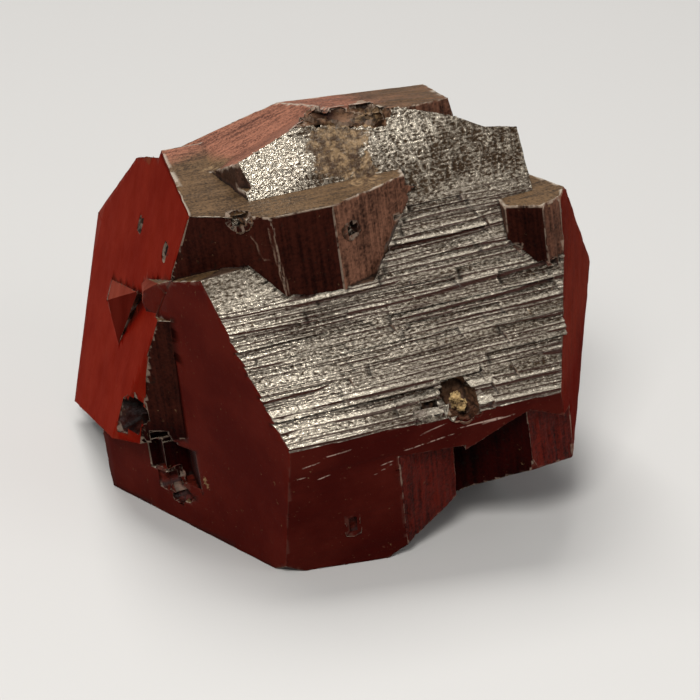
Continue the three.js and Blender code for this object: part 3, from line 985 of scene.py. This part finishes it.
FINISHES = {
    "big": striated_pewter(),
    # The liver finishes are copies of one skin, each set lighter or darker by the way its faces
    # look: painted light. Their strong red is partly their own liver red, partly painted reflection
    # of a red surrounding.
    "low": liver_skin(
        "liver_low", (0.034, 0.0032, 0.0022), (0.054, 0.0065, 0.004), specular=0.01,
    ),
    "left": liver_skin(
        "liver_left", (0.053, 0.005, 0.0033), (0.078, 0.0085, 0.005), specular=0.008,
    ),
    # The side faces are painted a brighter red, a painted reflection at a glancing angle.
    "side": liver_skin(
        "liver_side", (0.11, 0.011, 0.0065), (0.15, 0.019, 0.010),
        metallic=0.7, specular=0.0, glance=RED_GLANCE,
    ),
    # The hillock's top is painted lighter and its side darker: painted light and shade.
    "hill_top": liver_skin(
        "liver_hill_top", (0.15, 0.036, 0.022), (0.21, 0.056, 0.036),
        metallic=0.6, specular=0.0, glance=RED_GLANCE,
    ),
    "hill_side": liver_skin(
        "liver_hill_side", (0.072, 0.006, 0.0035), (0.10, 0.010, 0.006), specular=0.0,
    ),
    # Its red is partly painted reflection at a glancing angle.
    "right": brown_break(
        "dull_right", (0, 0.5, 0.9), (0, 0.9, -0.5),
        (0.035, 0.007, 0.0045), (0.13, 0.026, 0.015),
        metallic=0.6, specular=0.0, glance=RED_GLANCE,
    ),
    "roof": roof_skin(),
    "prism": brown_break(
        "grooved_prism", Z, X, (0.006, 0.001, 0.0007), (0.033, 0.007, 0.0038),
        pack=2.5, stretch=0.08, specular=0.02,
    ),
    "flank": brown_break(
        "grooved_flank", Z, X, (0.014, 0.005, 0.003), (0.20, 0.088, 0.053),
        pack=3.0, stretch=0.15, bump=0.9, specular=0.05,
    ),
    "back": brown_break(
        "dull_back", X, (0, 0.7, 0.7), (0.03, 0.009, 0.005), (0.12, 0.042, 0.025), specular=0.08,
    ),
    "rough": brown_break(
        "earthy_break", X, Y, (0.012, 0.005, 0.003), (0.08, 0.036, 0.022),
        pack=1.4, stretch=0.9, specular=0.1,
    ),
    # The steps' risers are given a dark brown, partly their own colour and partly painted shadow of
    # risers that face down.
    "ledge": brown_break(
        "ledge_gap", X, Y, (0.012, 0.005, 0.003), (0.09, 0.050, 0.030),
        pack=2.4, stretch=0.3, specular=0.15,
    ),
    "hollow": brown_break(
        "hollow_rock", X, Y, (0.014, 0.006, 0.0035), (0.22, 0.115, 0.062),
        pack=1.8, stretch=0.9, bump=1.0, specular=0.15,
    ),
}

# ---- The crystals ----

crystals_mesh = crystal_mesh(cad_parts["goethite_crystals"])
marks = surface_marks(crystals_mesh)
crystals = finished("crystals", crystals_mesh, sink(crystals_mesh), [FINISHES[k] for k in KINDS])
for mark, values in marks.items():
    layer = crystals.data.attributes.new(mark, "FLOAT", "POINT")
    layer.data.foreach_set("value", values.astype(np.float32))
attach(crystals, "root")
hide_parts("goethite_crystals")

# ---- The grain of matrix in its pit ----

def grain_mesh(node):
    """The node's mesh in the crystals' axes, rounded a little and made fine enough to crumble."""
    mesh = in_crystal_axes(node)
    bmesh.ops.subdivide_edges(
        mesh, edges=mesh.edges[:], cuts=3, use_grid_fill=True, smooth=0.6
    )
    bmesh.ops.triangulate(mesh, faces=mesh.faces[:])
    mesh.normal_update()
    return mesh


def crumbled(mesh):
    """The grain's vertices, sunk by lumps and fine pits."""
    places = np.array([v.co for v in mesh.verts])
    normals = np.array([v.normal for v in mesh.verts])
    depth = stairs(layered(places * 1.7, 91, 4), 7, 0.5) * 0.7 + 0.1 * layered(places * 5, 93)
    return places - normals * depth[:, None]


grain_shape = grain_mesh(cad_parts["matrix_grain"])
grain = finished("matrix_grain_body", grain_shape, crumbled(grain_shape), [buff_grain()])
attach(grain, "root")
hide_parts("matrix_grain")

# ---- Floor, light and camera ----

def pale_floor():
    material, tree, shader = new_material("pale_floor")
    fill(tree, shader, {"Base Color": (0.62, 0.60, 0.57), "Metallic": 0, "Roughness": 0.9})
    return material


floor_mesh = bmesh.new()
bmesh.ops.create_grid(floor_mesh, x_segments=2, y_segments=2, size=1.5)
floor_data = bpy.data.meshes.new("floor")
floor_mesh.to_mesh(floor_data)
floor_mesh.free()
floor_data.materials.append(pale_floor())
floor = placed("floor", floor_data)

world = bpy.data.worlds.new("studio")
bpy.context.scene.world = world
world.use_nodes = True
background = world.node_tree.nodes["Background"]
background.inputs["Color"].default_value = (0.85, 0.88, 0.92, 1)
background.inputs["Strength"].default_value = 0.25

AIM = Vector((0, 0, 0.014))  # where the lamps point, in metres


def lamp(name, place, size, watts):
    """A soft square lamp at a place, turned to the object."""
    data = bpy.data.lights.new(name, "AREA")
    data.shape = "SQUARE"
    data.size = size
    data.energy = watts
    made = placed(name, data)
    made.location = place
    made.rotation_euler = (AIM - Vector(place)).to_track_quat("-Z", "Y").to_euler()


lamp("key", (-0.05, -0.28, 0.28), 0.11, 1.0)
lamp("top", (-0.05, 0.15, 0.45), 0.25, 1.5)
lamp("fill", (0.35, -0.2, 0.2), 0.2, 0.3)

bpy.context.scene.view_settings.view_transform = "Standard"

CAMERA_PLACE = (0.00194, -0.19378, 0.10055)  # metres
CAMERA_TURN = (math.radians(65), 0, 0)
FIELD_OF_VIEW = math.radians(14.646)

camera_data = bpy.data.cameras.new("camera")
camera_data.angle = FIELD_OF_VIEW
camera_data.clip_start = 0.01
camera = placed("camera", camera_data)
camera.location = CAMERA_PLACE
camera.rotation_euler = CAMERA_TURN
bpy.context.scene.camera = camera
